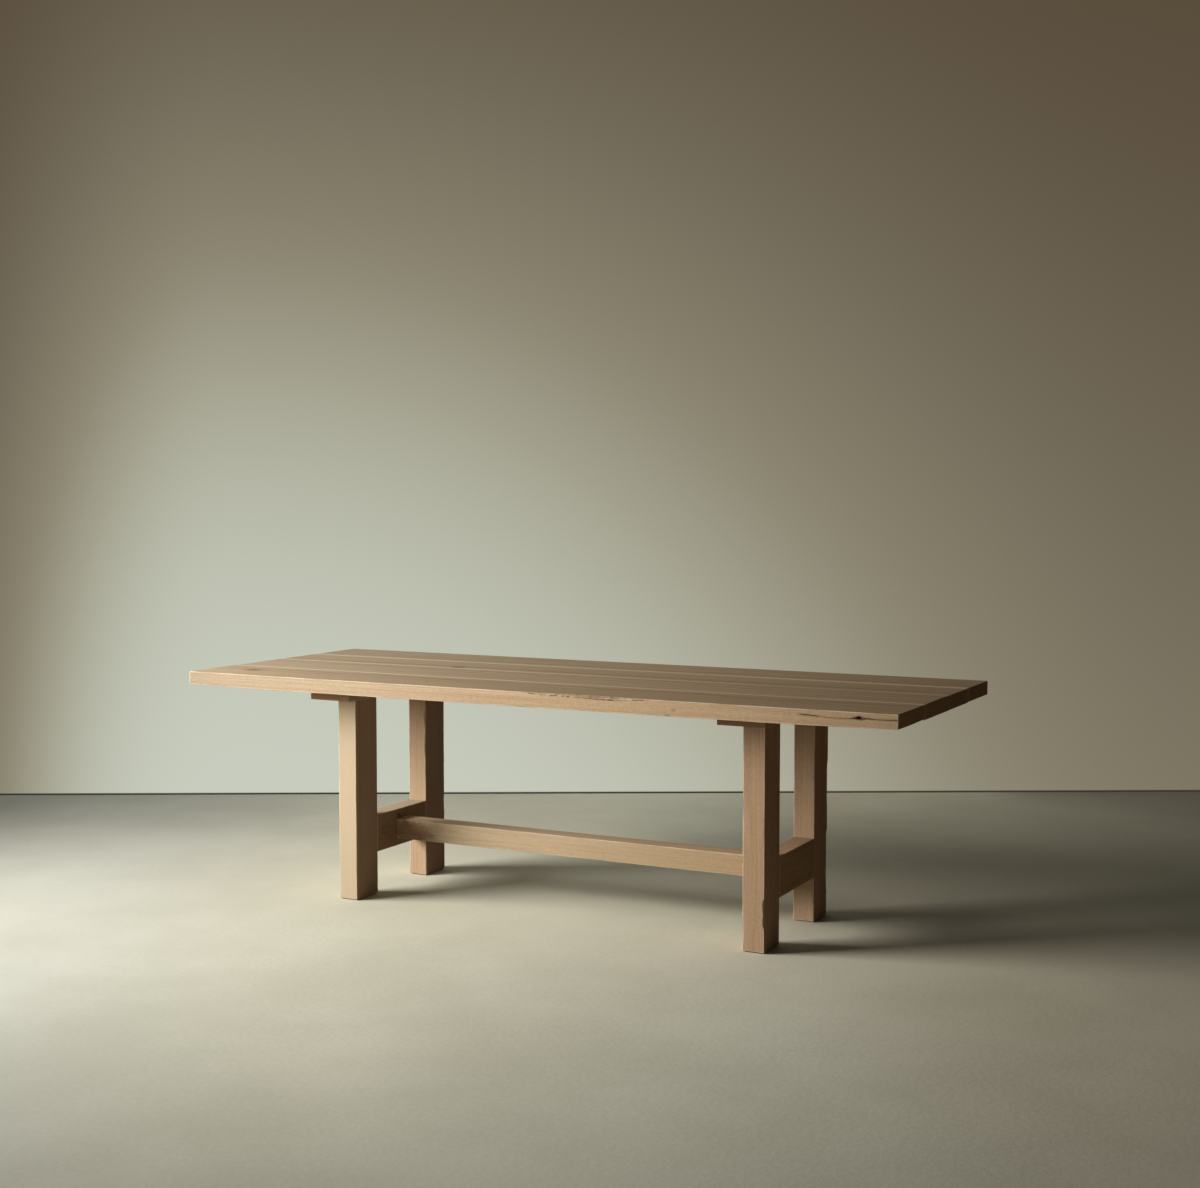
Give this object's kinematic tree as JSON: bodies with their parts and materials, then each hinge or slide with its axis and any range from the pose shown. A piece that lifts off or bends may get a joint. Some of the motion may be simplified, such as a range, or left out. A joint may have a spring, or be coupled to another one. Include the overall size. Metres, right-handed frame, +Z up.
{
  "type": "trestle dining table",
  "caption": "Long trestle dining table in pale solid oak: a thick edge-glued plank top on flat-legged trestles, joined by a low stretcher.",
  "frame": {"origin": "on the floor, below the middle of the top", "axes": "+X along the table to its right end, +Y to its back, +Z up; the bearers reach out past their legs towards -X"},
  "size_m": [2.4, 0.92, 0.745],
  "materials": {
    "oak_top": "matt oiled, planed and lightly sanded, straight grain",
    "oak_frame": "matt oiled, planed, straight grain with some wane",
    "beech_joinery": "bare, pressed grooves, hidden in the joints",
    "zinc_steel": "zinc-plated, satin",
    "felt": "dense pressed felt, matt"
  },
  "bodies": {
    "root": {"bearer_left": "oak_frame", "bearer_right": "oak_frame", "felt_glide_back_left": "felt", "felt_glide_back_right": "felt", "felt_glide_front_left": "felt", "felt_glide_front_right": "felt", "leg_back_left": "oak_frame", "leg_back_right": "oak_frame", "leg_front_left": "oak_frame", "leg_front_right": "oak_frame", "low_rail_left": "oak_frame", "low_rail_right": "oak_frame", "seam_tongues_back": "beech_joinery", "seam_tongues_front": "beech_joinery", "seam_tongues_middle": "beech_joinery", "stretcher": "oak_frame", "stretcher_peg_left": "beech_joinery", "stretcher_peg_right": "beech_joinery", "top_board_back": "oak_top", "top_board_front": "oak_top", "top_board_mid_back": "oak_top", "top_board_mid_front": "oak_top", "top_screws_left": "zinc_steel", "top_screws_right": "zinc_steel", "top_washers_left": "zinc_steel", "top_washers_right": "zinc_steel"}
  },
  "joints": []
}
